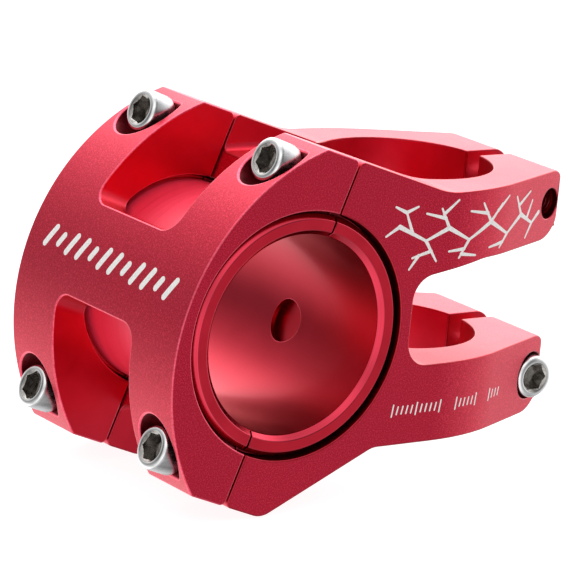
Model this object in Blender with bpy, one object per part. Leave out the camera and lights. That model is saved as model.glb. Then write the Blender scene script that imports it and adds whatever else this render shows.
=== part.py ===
"""Short two-bolt-per-side bicycle handlebar stem with a 35 to 31.8 mm reducer shim.

Frame: +X runs forward from the steerer tube to the handlebar, +Y to the rider's left, +Z up.
The origin is on the steerer axis, in the plane of the lower band's bottom face.
Lengths are written in millimetres and turned into metres by mm() and by the mesh builders.
"""
import math

import bmesh
import bpy
from mathutils import Matrix, Vector

# ---------------------------------------------------------------- driving dimensions (mm, degrees)
REACH = 35.0            # steerer axis to handlebar axis, along X
BAR_HEIGHT = 19.4       # handlebar axis above the lower band's bottom face
STACK = 40.4            # height of the steerer clamp
FACE_TILT = 20.3        # how far the faceplate looks up from straight ahead
HALF_WIDTH = 22.4       # half of the handlebar clamp's width

STEERER_R = 14.45       # bore for a 28.6 mm steerer tube, with running clearance
BAR_LAND_R = 17.5       # bore for a 35 mm handlebar or for the shim
RECESS_R = 19.7         # wider ring at both ends of the bore, which takes the shim's flange
RECESS_DEPTH = 2.8
GAP = 0.3               # clearance kept between pieces that touch

SPLIT = 1.1             # parting plane, ahead of the handlebar axis
FACET = 28.2            # where the outer arc ends, above and below the handlebar axis
LAND_SLOPE = 18.3       # slope of the upper ears' flat lands, down to the top face
EAR_CORNER = 1.0        # rounding of the ears' ends at the parting plane
FACE_ARC_R = 35.5       # outer arc of the faceplate
FACE_ARC_CENTRE = -13.6
NOTCH_HALF = 10.7       # half width of the windows and of the notches between the ears
BRIDGE_HALF = 7.6       # half height of the faceplate's bridge
WINDOW_CORNER = 3.0

REAR = -23.3            # rear faces of both bands
TAPER = 23.5            # slope of the sides towards the rear
TAPER_START = 7.0
TAPER_R = 36.0
LOWER_BAND = 12.7       # top of the lower band
UPPER_BAND = 29.1       # underside of the upper band
UPPER_ROOT = 26.8       # the same underside where it meets the clamp
UPPER_ROOT_START = -1.0
GAP_FRONT = 13.2        # front wall of the opening between the bands
GAP_CORNER = 4.2
REAR_CREST = 3.0        # rounding of the bands' upper rear edges
REAR_CORNER = 2.0       # rounding of the bands' upright rear edges
REAR_SWEEP = 5.5        # rounding of the bands' lower rear edges
BELLY_SLOPE = 24.4      # underside of the clamp, from the lower band down to the parting plane
BELLY_START = 18.2
BELLY_CORNER = 4.0
TOP_BLEND = 14.0        # hollow between the upper band and the ears
NOTCH_FILLET = 1.4
BORE_EDGE = 0.5
SLIT_HALF = 1.6         # slit behind the steerer bore

HEAD_R = 3.5            # M5 socket screws with a small head
HEAD_HEIGHT = 4.7
SHANK_R = 2.15
HOLE_R = 2.5
HEX_ACROSS_FLATS = 3.5
HEX_DEPTH = 3.0
POCKET_R = 4.7
FACE_SCREW_Y = 17.0
FACE_SCREW_U = 23.4
FACE_SCREW_SEAT = 9.9
FACE_SCREW_LENGTH = 14.0
STEERER_SCREW_X = -19.7
LOWER_SCREW_Z = 6.1
UPPER_SCREW_Z = 35.0
STEERER_SCREW_SEAT = 10.8
STEERER_POCKET_R = 3.9
STEERER_SCREW_LENGTH = 17.0

SHIM_BORE_R = 15.9      # 31.8 mm handlebar
SHIM_LAND_R = 17.2
SHIM_RELIEF_R = 16.7
SHIM_RELIEF_HALF = 12.5
SHIM_FLANGE_R = 19.2
SHIM_HALF_LENGTH = 22.1
SHIM_FLANGE_THICK = 2.2
SHIM_EDGE = 0.8
SHIM_HOLE_R = 3.5
SHIM_HOLE_Y = -0.8
SHIM_HOLE_U = 0.6

BORE_SEGMENTS = 72
HOLE_SEGMENTS = 24
FAR = 60.0              # reach of cutters that go right through


def mm(*values):
    """Lengths in millimetres as a vector in metres."""
    return Vector(values) * 0.001


# ---------------------------------------------------------------- scene and materials
def clear_scene():
    for item in list(bpy.data.objects):
        bpy.data.objects.remove(item, do_unlink=True)


def material(name, colour, roughness, metallic):
    made = bpy.data.materials.new(name)
    made.use_nodes = True
    shader = made.node_tree.nodes["Principled BSDF"]
    shader.inputs["Base Color"].default_value = (*colour, 1.0)
    shader.inputs["Roughness"].default_value = roughness
    shader.inputs["Metallic"].default_value = metallic
    return made


# ---------------------------------------------------------------- outlines
def rounded(corners, steps=6):
    """Closed outline whose corners (x, y, radius) are replaced by arcs of that radius."""
    outline = []
    count = len(corners)
    for index, (x, y, radius) in enumerate(corners):
        here = Vector((x, y))
        if radius == 0:
            outline.append(here)
            continue
        before = (Vector(corners[index - 1][:2]) - here).normalized()
        after = (Vector(corners[(index + 1) % count][:2]) - here).normalized()
        half = before.angle(after) / 2
        middle = here + (before + after).normalized() * (radius / math.sin(half))
        first = here + before * (radius / math.tan(half)) - middle
        last = here + after * (radius / math.tan(half)) - middle
        sweep = first.angle_signed(last)
        for step in range(steps + 1):
            turn = Matrix.Rotation(-sweep * step / steps, 2)
            outline.append(middle + turn @ first)
    return outline


def arc(centre, radius, start, end, steps):
    """Points on an arc, angles in degrees."""
    points = []
    for step in range(steps + 1):
        angle = math.radians(start + (end - start) * step / steps)
        points.append(Vector((centre[0] + radius * math.cos(angle),
                              centre[1] + radius * math.sin(angle))))
    return points


# ---------------------------------------------------------------- solids
def new_object(name, mesh, look=None):
    made = bpy.data.objects.new(name, mesh)
    bpy.context.collection.objects.link(made)
    if look:
        mesh.materials.append(look)
    return made


def finish_mesh(name, shape):
    """Turn a bmesh into a mesh with outward faces and smooth round stretches."""
    bmesh.ops.recalc_face_normals(shape, faces=shape.faces)
    mesh = bpy.data.meshes.new(name)
    shape.to_mesh(mesh)
    shape.free()
    mesh.shade_smooth()
    mesh.set_sharp_from_angle(angle=math.radians(30))
    return mesh


def prism(name, outline, low, high, plane="XZ"):
    """Extrude an outline: XZ outlines along Y, XY outlines along Z, YZ outlines along X."""
    place = {"XZ": lambda a, b, c: mm(a, c, b),
             "XY": lambda a, b, c: mm(a, b, c),
             "YZ": lambda a, b, c: mm(c, a, b)}[plane]
    shape = bmesh.new()
    ends = [[shape.verts.new(place(p[0], p[1], level)) for p in outline] for level in (low, high)]
    for end in ends:
        shape.faces.new(end)
    count = len(outline)
    for index in range(count):
        following = (index + 1) % count
        shape.faces.new((ends[0][index], ends[0][following], ends[1][following], ends[1][index]))
    return finish_mesh(name, shape)


def block(name, low, high):
    """Box between two corners."""
    outline = [(low[0], low[2]), (high[0], low[2]), (high[0], high[2]), (low[0], high[2])]
    return prism(name, outline, low[1], high[1])


def hexagon_radius(angle, across_flats):
    """Distance from the centre of a hexagon to its edge in one direction."""
    folded = (angle % math.radians(60)) - math.radians(30)
    return across_flats / 2 / math.cos(folded)


def stacked_rings(name, rings, segments):
    """Solid built of rings (height along X, size, "round" or "hex"), closed at both ends."""
    shape = bmesh.new()
    loops = []
    for height, size, kind in rings:
        loop = []
        for index in range(segments):
            angle = math.tau * index / segments
            radius = hexagon_radius(angle, size) if kind == "hex" else size
            loop.append(shape.verts.new(mm(height, radius * math.cos(angle),
                                           radius * math.sin(angle))))
        loops.append(loop)
    for lower, upper in zip(loops, loops[1:]):
        for index in range(segments):
            following = (index + 1) % segments
            shape.faces.new((lower[index], lower[following], upper[following], upper[index]))
    shape.faces.new(loops[0])
    shape.faces.new(loops[-1])
    return finish_mesh(name, shape)


def turned(name, profile, segments):
    """Ring turned about Y from a closed profile of (y, radius) points."""
    shape = bmesh.new()
    loops = []
    for index in range(segments):
        angle = math.tau * (index + 0.5) / segments
        loops.append([shape.verts.new(mm(radius * math.cos(angle), y, radius * math.sin(angle)))
                      for y, radius in profile])
    count = len(profile)
    for index, loop in enumerate(loops):
        beside = loops[(index + 1) % segments]
        for point in range(count):
            following = (point + 1) % count
            shape.faces.new((loop[point], beside[point], beside[following], loop[following]))
    return finish_mesh(name, shape)


def cylinder(name, axis, radii, segments):
    """Stepped cutter along an axis; radii are (position, radius) pairs in order."""
    mesh = stacked_rings(name, [(at, radius, "round") for at, radius in radii], segments)
    turn = {"X": Matrix.Identity(4),
            "Y": Matrix.Rotation(math.radians(90), 4, "Z"),
            "Z": Matrix.Rotation(math.radians(-90), 4, "Y")}[axis]
    mesh.transform(turn)
    return mesh


def cut(target, mesh, parent=None, location=(0, 0, 0), operation="DIFFERENCE"):
    """Boolean between a piece and a hidden cutter."""
    cutter = new_object(f"cutter_{mesh.name}", mesh)
    cutter.hide_render = True
    cutter.display_type = "WIRE"
    cutter.parent = parent
    cutter.location = mm(*location)
    modifier = target.modifiers.new(mesh.name, "BOOLEAN")
    modifier.operation = operation
    modifier.solver = "EXACT"
    modifier.object = cutter
    return cutter


# ---------------------------------------------------------------- the tilted frame of the clamp
def tilted(n, u):
    """World X and Z of a point n ahead of and u above the handlebar axis, square to the face."""
    angle = math.radians(FACE_TILT)
    return (REACH + n * math.cos(angle) - u * math.sin(angle),
            BAR_HEIGHT + n * math.sin(angle) + u * math.cos(angle))


def bar_frame():
    """Empty on the handlebar axis: its X is square to the parting plane, its Y is the bar."""
    empty = bpy.data.objects.new("bar_axis", None)
    bpy.context.collection.objects.link(empty)
    empty.location = mm(REACH, 0, BAR_HEIGHT)
    empty.rotation_euler = (0, -math.radians(FACE_TILT), 0)
    return empty


def bore_cutter(name):
    """Handlebar bore with its wider rings, along Y through the origin."""
    inner = HALF_WIDTH - RECESS_DEPTH
    steps = [(-FAR, RECESS_R), (-inner, RECESS_R), (-inner, BAR_LAND_R),
             (inner, BAR_LAND_R), (inner, RECESS_R), (FAR, RECESS_R)]
    return cylinder(name, "Y", steps, BORE_SEGMENTS)


def land_height(n):
    """Height of the upper land above the handlebar axis, square to the face."""
    arc_end = FACE_ARC_CENTRE + math.sqrt(FACE_ARC_R ** 2 - FACET ** 2)
    return FACET + (arc_end - n) * math.tan(math.radians(FACE_TILT - LAND_SLOPE))


# ---------------------------------------------------------------- stem body
def side_outline():
    """Side view of the body: both bands, the opening between them and the clamp's rear half."""
    split = SPLIT - GAP / 2
    slope = math.tan(math.radians(FACE_TILT))
    top_x, top_z = tilted(split, land_height(split))
    low_x, low_z = tilted(split, -FACET)
    meet_top = top_x - (top_z - STACK) / math.tan(math.radians(LAND_SLOPE))
    belly = math.tan(math.radians(BELLY_SLOPE))
    belly_x = (slope * low_x + belly * BELLY_START - low_z) / (belly + slope)
    belly_z = -belly * (belly_x - BELLY_START)
    return rounded([
        (top_x, top_z, EAR_CORNER), (low_x, low_z, EAR_CORNER), (belly_x, belly_z, BELLY_CORNER),
        (BELLY_START, 0, GAP_CORNER), (REAR, 0, REAR_SWEEP), (REAR, LOWER_BAND, REAR_CREST),
        (GAP_FRONT, LOWER_BAND, GAP_CORNER), (GAP_FRONT, UPPER_ROOT, GAP_CORNER),
        (UPPER_ROOT_START, UPPER_BAND, TOP_BLEND), (REAR, UPPER_BAND, REAR_SWEEP),
        (REAR, STACK, REAR_CREST), (meet_top, STACK, TOP_BLEND)])


def plan_outline():
    """Top view of the body: straight at the clamp, then curving in to the narrow rear."""
    bend = math.radians(TAPER)
    front = REACH + FAR
    side = arc((TAPER_START, HALF_WIDTH - TAPER_R), TAPER_R, 90, 90 + TAPER, 8)
    end = side[-1]
    corner = Vector((REAR, end.y - (end.x - REAR) * math.tan(bend)))
    rear = rounded([(end.x, end.y, 0), (corner.x, corner.y, REAR_CORNER), (REAR, 0, 0)], 4)[1:-1]
    half = [Vector((front, HALF_WIDTH)), *side, *rear]
    return half + [Vector((p.x, -p.y)) for p in reversed(half)]


def notch_outline(floor, direction):
    """Cross-section of a notch between the ears, rounded where the walls meet the floor."""
    far = floor + direction * FAR
    return rounded([(-NOTCH_HALF, far, 0), (-NOTCH_HALF, floor, NOTCH_FILLET),
                    (NOTCH_HALF, floor, NOTCH_FILLET), (NOTCH_HALF, far, 0)], 4)


def steerer_cutter():
    """Steerer bore with a small countersink at the top and bottom faces."""
    wide = STEERER_R + BORE_EDGE + 1
    steps = [(-1, wide), (BORE_EDGE, STEERER_R), (STACK - BORE_EDGE, STEERER_R), (STACK + 1, wide)]
    return cylinder("steerer_bore", "Z", steps, BORE_SEGMENTS)


def steerer_screw_cutter(side):
    """Hole across one band: a head pocket on one side, the thread's hole out of the other."""
    steps = [(-FAR, HOLE_R), (STEERER_SCREW_SEAT, HOLE_R),
             (STEERER_SCREW_SEAT, STEERER_POCKET_R), (FAR, STEERER_POCKET_R)]
    mesh = cylinder(f"steerer_hole_{side}", "Y", steps, HOLE_SEGMENTS)
    if side < 0:
        mesh.transform(Matrix.Rotation(math.pi, 4, "X"))
    return mesh


def make_body(frame, look):
    mesh = prism("stem_body", side_outline(), -HALF_WIDTH, HALF_WIDTH)
    body = new_object("stem_body", mesh, look)
    cut(body, prism("plan", plan_outline(), -FAR, FAR, "XY"), operation="INTERSECT")
    notch_start = GAP_FRONT / 2
    cut(body, prism("upper_notch", notch_outline(STACK, 1), notch_start, REACH + FAR, "YZ"))
    cut(body, prism("lower_notch", notch_outline(0, -1), notch_start, REACH + FAR, "YZ"))
    cut(body, bore_cutter("bar_bore"), frame)
    cut(body, steerer_cutter())
    slit_low = (REAR - BORE_EDGE, -SLIT_HALF, -FAR)
    slit_high = (-STEERER_R / 2, SLIT_HALF, FAR)
    cut(body, block("slit", slit_low, slit_high))
    hole_end = FACE_SCREW_SEAT - FACE_SCREW_LENGTH - 2 * GAP
    for side in (-1, 1):
        for level in (-1, 1):
            hole = cylinder(f"face_hole_{side}_{level}", "X",
                            [(hole_end, HOLE_R), (FAR, HOLE_R)], HOLE_SEGMENTS)
            cut(body, hole, frame, (0, side * FACE_SCREW_Y, level * FACE_SCREW_U))
    for side, height in ((1, LOWER_SCREW_Z), (-1, UPPER_SCREW_Z)):
        cut(body, steerer_screw_cutter(side), None, (STEERER_SCREW_X, 0, height))
    return body


# ---------------------------------------------------------------- faceplate
def face_outline():
    """Side view of the faceplate in the tilted frame: two flat lands and the outer arc."""
    split = SPLIT + GAP / 2
    reach = math.degrees(math.asin(FACET / FACE_ARC_R))
    front = arc((FACE_ARC_CENTRE, 0), FACE_ARC_R, -reach, reach, 28)
    return rounded([(split, -FACET, EAR_CORNER), *[(p.x, p.y, 0) for p in front],
                    (split, land_height(split), EAR_CORNER)])


def make_faceplate(frame, look):
    mesh = prism("faceplate", face_outline(), -HALF_WIDTH, HALF_WIDTH)
    plate = new_object("faceplate", mesh, look)
    plate.parent = frame
    cut(plate, bore_cutter("face_bore"), frame)
    for level in (-1, 1):
        near = level * BRIDGE_HALF
        window = rounded([(-NOTCH_HALF, level * FAR, 0), (-NOTCH_HALF, near, WINDOW_CORNER),
                          (NOTCH_HALF, near, WINDOW_CORNER), (NOTCH_HALF, level * FAR, 0)], 5)
        cut(plate, prism(f"window_{level}", window, -FAR, FAR, "YZ"), frame)
        for side in (-1, 1):
            steps = [(-FAR, HOLE_R), (FACE_SCREW_SEAT, HOLE_R), (FACE_SCREW_SEAT, POCKET_R),
                     (FAR, POCKET_R)]
            cut(plate, cylinder(f"pocket_{side}_{level}", "X", steps, HOLE_SEGMENTS), frame,
                (0, side * FACE_SCREW_Y, level * FACE_SCREW_U))
    return plate


# ---------------------------------------------------------------- reducer shim
def shim_profile():
    """Closed (y, radius) profile of the shim: bore, end flanges, lands and the relieved middle."""
    end = SHIM_HALF_LENGTH
    shoulder = end - SHIM_FLANGE_THICK
    half = [(end - SHIM_EDGE, SHIM_BORE_R), (end, SHIM_BORE_R + SHIM_EDGE),
            (end, SHIM_FLANGE_R - SHIM_EDGE), (end - SHIM_EDGE, SHIM_FLANGE_R),
            (shoulder, SHIM_FLANGE_R), (shoulder, SHIM_LAND_R),
            (SHIM_RELIEF_HALF, SHIM_LAND_R), (SHIM_RELIEF_HALF, SHIM_RELIEF_R)]
    return half + [(-y, radius) for y, radius in reversed(half)]


def make_shim(name, frame, look, side):
    """Front (side = 1) or rear (side = -1) half of the shim."""
    shim = new_object(name, turned(name, shim_profile(), BORE_SEGMENTS), look)
    shim.parent = frame
    if side > 0:
        keep = block(f"keep_{name}", (SPLIT + GAP / 2, -FAR, -FAR), (FAR, FAR, FAR))
    else:
        keep = block(f"keep_{name}", (-FAR, -FAR, -FAR), (SPLIT - GAP / 2, FAR, FAR))
    cut(shim, keep, frame, operation="INTERSECT")
    if side < 0:
        steps = [(-FAR, SHIM_HOLE_R), (-SHIM_BORE_R / 2, SHIM_HOLE_R)]
        hole = cylinder("shim_hole", "X", steps, HOLE_SEGMENTS)
        cut(shim, hole, frame, (0, SHIM_HOLE_Y, SHIM_HOLE_U))
    return shim


# ---------------------------------------------------------------- screws
def screw_mesh(name, length):
    """Socket screw along X: its tip at -length, its head's seat at 0 and its head above."""
    edge = 0.5
    rings = [
        (-length, SHANK_R - edge, "round"), (edge - length, SHANK_R, "round"),
        (GAP, SHANK_R, "round"), (GAP, HEAD_R - 0.2, "round"), (GAP + 0.2, HEAD_R, "round"),
        (HEAD_HEIGHT - edge, HEAD_R, "round"), (HEAD_HEIGHT, HEAD_R - edge, "round"),
        (HEAD_HEIGHT, HEX_ACROSS_FLATS, "hex"),
        (HEAD_HEIGHT - HEX_DEPTH, HEX_ACROSS_FLATS, "hex")]
    return stacked_rings(name, rings, HOLE_SEGMENTS)


def make_face_screws(frame, look):
    mesh = screw_mesh("faceplate_screw", FACE_SCREW_LENGTH)
    mesh.materials.append(look)
    for side, side_name in ((-1, "right"), (1, "left")):
        for level, level_name in ((-1, "lower"), (1, "upper")):
            screw = new_object(f"faceplate_bolt_{level_name}_{side_name}", mesh)
            screw.parent = frame
            screw.location = mm(FACE_SCREW_SEAT, side * FACE_SCREW_Y, level * FACE_SCREW_U)


def make_steerer_screws(look):
    mesh = screw_mesh("steerer_screw", STEERER_SCREW_LENGTH)
    mesh.materials.append(look)
    for side, height, name in ((1, LOWER_SCREW_Z, "steerer_bolt_lower"),
                               (-1, UPPER_SCREW_Z, "steerer_bolt_upper")):
        screw = new_object(name, mesh)
        screw.rotation_euler = (0, 0, side * math.radians(90))
        screw.location = mm(STEERER_SCREW_X, side * STEERER_SCREW_SEAT, height)


def build():
    clear_scene()
    blasted = material("blasted_red", (0.55, 0.012, 0.03), 0.42, 0.85)
    machined = material("machined_red", (0.6, 0.01, 0.025), 0.22, 0.9)
    steel = material("polished_steel", (0.72, 0.72, 0.72), 0.14, 1.0)
    frame = bar_frame()
    make_body(frame, blasted)
    make_faceplate(frame, blasted)
    make_shim("shim_front", frame, machined, 1)
    make_shim("shim_rear", frame, machined, -1)
    make_face_screws(frame, steel)
    make_steerer_screws(steel)


build()
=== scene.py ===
"""Looks of a short bicycle handlebar stem with a reducer shim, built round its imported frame.

Frame: +X runs forward from the steerer tube to the handlebar, +Y to the rider's left, +Z up.
Pieces are modelled in millimetres and scaled to metres when they are placed. The clamp's pieces
are modelled in the clamp's own frame: X square to the parting plane, Y along the handlebar.
"""

import math

import bmesh
import bpy
from mathutils import Matrix, Vector


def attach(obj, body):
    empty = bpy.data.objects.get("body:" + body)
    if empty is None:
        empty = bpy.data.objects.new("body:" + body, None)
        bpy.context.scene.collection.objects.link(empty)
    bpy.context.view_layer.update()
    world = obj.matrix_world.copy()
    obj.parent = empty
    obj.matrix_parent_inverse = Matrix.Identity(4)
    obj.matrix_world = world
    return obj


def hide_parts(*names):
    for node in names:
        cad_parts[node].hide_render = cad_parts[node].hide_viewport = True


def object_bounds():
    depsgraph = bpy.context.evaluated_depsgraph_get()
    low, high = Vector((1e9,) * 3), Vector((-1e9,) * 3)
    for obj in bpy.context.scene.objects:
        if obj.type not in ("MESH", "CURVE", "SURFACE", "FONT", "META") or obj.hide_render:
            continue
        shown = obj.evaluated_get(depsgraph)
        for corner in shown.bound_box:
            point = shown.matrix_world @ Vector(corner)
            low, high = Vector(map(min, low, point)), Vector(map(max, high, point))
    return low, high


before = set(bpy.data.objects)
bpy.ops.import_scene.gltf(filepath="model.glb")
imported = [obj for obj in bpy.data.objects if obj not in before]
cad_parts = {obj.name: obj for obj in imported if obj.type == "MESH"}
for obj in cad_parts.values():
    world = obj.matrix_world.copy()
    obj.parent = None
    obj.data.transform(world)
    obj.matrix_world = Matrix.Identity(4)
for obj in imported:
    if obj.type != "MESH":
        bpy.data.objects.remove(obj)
CAD_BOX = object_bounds()

# ---------------------------------------------------------------- dimensions (mm, degrees)
GAP = 0.3                # clearance between pieces that touch in reality
FAR = 60.0               # reach of cutters that go right through
PAST = 1.0               # how far a cutter runs past the face it opens
HAIR = 0.1               # slack when faces are told apart by where they lie

# The whole stem
REACH = 35.0             # steerer axis to handlebar axis
BAR_HEIGHT = 19.4        # handlebar axis above the bottom of the lower band
STACK = 40.4             # bottom of the lower band to top of the upper band
HALF_WIDTH = 22.4
FACE_TILT = 20.3         # lean of the parting plane between ears and faceplate
STEERER_R = 14.45
SLIT_HALF = 1.6

# Handlebar clamp, in its own frame
SPLIT = 1.1              # parting plane ahead of the handlebar axis
BAR_LAND_R = 17.5
RECESS_R = 19.7          # for the shim's flanges, at both ends of the clamp
RECESS_DEPTH = 2.8
FACET = 28.2             # how far the faceplate's arc runs above and below the handlebar axis
LAND_SLOPE = 18.3        # fall of the body's top towards the ears, in the world
EAR_CORNER = 1.0
FACE_ARC_R = 35.5
FACE_ARC_CENTRE = -13.6
FACE_ARC_STEPS = 92
NOTCH_HALF = 10.7        # half the gap between two ears, and half a window's width
NOTCH_FILLET = 1.4
BRIDGE_HALF = 7.6        # half the bridge between the faceplate's windows
WINDOW_CORNER = 3.0

# Steerer bands
REAR = -23.3
LOWER_BAND = 12.7        # top of the lower band
UPPER_BAND = 29.1        # underside of the upper band, behind UPPER_ROOT_START
UPPER_ROOT = 26.8        # underside of the upper band at the front of the gap
UPPER_ROOT_START = -1.0
GAP_FRONT = 13.2
GAP_CORNER = 4.2
TAPER = 23.5             # how far the sides turn inwards towards the rear
TAPER_START = 7.0
TAPER_R = 36.0
TAPER_STEPS = 24
REAR_CREST = 3.0         # radius of the bands' upper rear edges
REAR_SWEEP = 5.5         # radius of their lower rear edges
REAR_CORNER = 2.0        # radius of their upright rear edges
BELLY_SLOPE = 24.4       # fall of the underside towards the lower ears
BELLY_START = 18.2
BELLY_CORNER = 4.0
TOP_BLEND = 14.0

# Screws and their holes
HEAD_R = 3.5
HEAD_HEIGHT = 4.7
HEAD_ROUND = 0.75        # radius of the head's upper rim
HEAD_ROUND_STEPS = 6
HEAD_LIP = 0.2           # radius of the head's lower rim
HEAD_LIP_MIDDLE = 0.06   # how far the middle of that rim stands in from its corner
HEX_ACROSS_FLATS = 4.0
HEX_DEPTH = 3.0
MOUTH_R = 2.55           # countersunk mouth of the socket
MOUTH_RIM = 0.08         # width of the soft rim round the mouth
MOUTH_START = 0.02       # depth of that rim
MOUTH_DEPTH = 0.48       # depth of the mouth's cone below it
MOUTH_STEPS = 6
MOUTH_SLOPE = 1.6        # radius that the cone loses for each mm of depth
DRILL_R = 1.9            # drilled bottom of the socket
DRILL_DEPTH = 0.8        # depth of the drill's point below the hexagon
DRILL_POINT_R = 0.1
SHANK_R = 2.15
SCREW_TIP = 0.5          # chamfer at a screw's tip
THREAD_PITCH = 0.8
THREAD_DEPTH = 0.35
THREAD_STEPS = 6         # rings in one turn of a screw's thread
THREAD_RUNOUT = 1.0      # least plain stretch between a screw's thread and its seat
UNDERCUT_START = 0.3     # from the end of the thread to the plain neck
UNDERCUT_END = 0.15      # from the plain neck to the head
HOLE_R = 2.5
TAPPED_DEPTH = 0.28      # depth of the threads in a tapped hole
THREAD_LEAD = 0.6        # plain mouth in front of a tapped hole's first thread
POCKET_R = 4.7
FACE_SCREW_Y = 17.0
FACE_SCREW_U = 23.4
FACE_SCREW_SEAT = 9.9
FACE_SCREW_LENGTH = 14.0
STEERER_SCREW_X = -19.7
LOWER_SCREW_Z = 6.1
UPPER_SCREW_Z = 35.0
STEERER_SCREW_SEAT = 10.8
STEERER_SCREW_LENGTH = 17.0
STEERER_POCKET_R = 3.9
STEERER_THREAD_END = 12.0
SOCKET_TURN_SIDE = 17    # each screw's hexagon stands at a slightly different angle
SOCKET_TURN_LEVEL = 9

# Reducer shim
SHIM_BORE_R = 15.9
SHIM_LAND_R = 17.2
SHIM_RELIEF_R = 16.7
SHIM_RELIEF_HALF = 12.5
SHIM_FLANGE_R = 19.2
SHIM_FLANGE_THICK = 2.2
SHIM_HALF_LENGTH = 22.1
SHIM_EDGE = 0.8
SHIM_HOLE_R = 3.5
SHIM_HOLE_Y = -0.8
SHIM_HOLE_U = 0.6

# Finish of the meshes
EDGE = 0.25              # width of the rounding on the body's and the faceplate's edges
FINE_EDGE = 0.12         # the same on the shim
EDGE_SLOT = 2            # slot of the rounded edges' look, after blasted and machined
CUT_SLIVER = 0.004       # points closer than this after the cuts are one point
EDGE_SLIVER = 0.05       # the same after the edges are rounded
ROUND_STEPS = 14         # facets in a rounded corner
BORE_SEGMENTS = 192
HOLE_SEGMENTS = 64
SCREW_SEGMENTS = 72
SMOOTH_ANGLE = 30
SCREW_SMOOTH_ANGLE = 35

TILT = (Matrix.Translation((REACH, 0, BAR_HEIGHT))
        @ Matrix.Rotation(-math.radians(FACE_TILT), 4, "Y"))
METRES = Matrix.Scale(0.001, 4)


# ---------------------------------------------------------------- outlines
def rounded(corners):
    """Closed outline whose corners (x, y, radius) are replaced by arcs of that radius."""
    outline = []
    count = len(corners)
    for index, (x, y, radius) in enumerate(corners):
        here = Vector((x, y))
        if radius == 0:
            outline.append(here)
            continue
        before = (Vector(corners[index - 1][:2]) - here).normalized()
        after = (Vector(corners[(index + 1) % count][:2]) - here).normalized()
        half = before.angle(after) / 2
        middle = here + (before + after).normalized() * (radius / math.sin(half))
        first = here + before * (radius / math.tan(half)) - middle
        last = here + after * (radius / math.tan(half)) - middle
        sweep = first.angle_signed(last)
        for step in range(ROUND_STEPS + 1):
            turn = Matrix.Rotation(-sweep * step / ROUND_STEPS, 2)
            outline.append(middle + turn @ first)
    return outline


def arc(centre, radius, start, end, steps):
    """Points on an arc, angles in degrees."""
    points = []
    for step in range(steps + 1):
        angle = math.radians(start + (end - start) * step / steps)
        points.append(Vector((centre[0] + radius * math.cos(angle),
                              centre[1] + radius * math.sin(angle))))
    return points


# ---------------------------------------------------------------- mesh builders
def finish_mesh(name, shape, look):
    """Turn a bmesh into a mesh with one material and its faces pointing out."""
    bmesh.ops.recalc_face_normals(shape, faces=shape.faces)
    mesh = bpy.data.meshes.new(name)
    shape.to_mesh(mesh)
    shape.free()
    mesh.materials.append(look)
    return mesh


def prism(name, outline, low, high, plane, look):
    """Extrude an outline: XZ outlines along Y, XY outlines along Z, YZ outlines along X."""
    place = {"XZ": lambda a, b, c: (a, c, b),
             "XY": lambda a, b, c: (a, b, c),
             "YZ": lambda a, b, c: (c, a, b)}[plane]
    shape = bmesh.new()
    ends = [[shape.verts.new(place(p[0], p[1], level)) for p in outline] for level in (low, high)]
    for end in ends:
        shape.faces.new(end)
    count = len(outline)
    for index in range(count):
        following = (index + 1) % count
        shape.faces.new((ends[0][index], ends[0][following], ends[1][following], ends[1][index]))
    return finish_mesh(name, shape, look)


def block(name, low, high, look):
    """Box between two opposite corners."""
    outline = [(low[0], low[2]), (high[0], low[2]), (high[0], high[2]), (low[0], high[2])]
    return prism(name, outline, low[1], high[1], "XZ", look)


def plain(radius):
    """The same radius at every angle, for a round ring of a stack."""
    return lambda _: radius


def ring_stack(name, rings, segments, look):
    """Solid along X from rings of (height, radius as a function of the angle)."""
    shape = bmesh.new()
    loops = []
    for height, radius_at in rings:
        loop = []
        for index in range(segments):
            angle = math.tau * index / segments
            radius = radius_at(angle)
            loop.append(shape.verts.new((height, radius * math.cos(angle),
                                         radius * math.sin(angle))))
        loops.append(loop)
    for lower, upper in zip(loops, loops[1:]):
        for index in range(segments):
            following = (index + 1) % segments
            shape.faces.new((lower[index], lower[following], upper[following], upper[index]))
    shape.faces.new(loops[0])
    shape.faces.new(loops[-1])
    return finish_mesh(name, shape, look)


def turned(name, profile, segments, look):
    """Ring turned about Y from a closed profile of (y, radius) points."""
    shape = bmesh.new()
    loops = []
    for index in range(segments):
        angle = math.tau * (index + 0.5) / segments
        loops.append([shape.verts.new((radius * math.cos(angle), y, radius * math.sin(angle)))
                      for y, radius in profile])
    count = len(profile)
    for index, loop in enumerate(loops):
        beside = loops[(index + 1) % segments]
        for point in range(count):
            following = (point + 1) % count
            shape.faces.new((loop[point], beside[point], beside[following], loop[following]))
    return finish_mesh(name, shape, look)


def cylinder(name, axis, steps, segments, look):
    """Stepped cutter along an axis; steps are (position, radius) pairs in order."""
    rings = [(position, plain(radius)) for position, radius in steps]
    mesh = ring_stack(name, rings, segments, look)
    turn = {"X": Matrix.Identity(4),
            "Y": Matrix.Rotation(math.radians(90), 4, "Z"),
            "Z": Matrix.Rotation(math.radians(-90), 4, "Y")}[axis]
    mesh.transform(turn)
    return mesh


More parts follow.
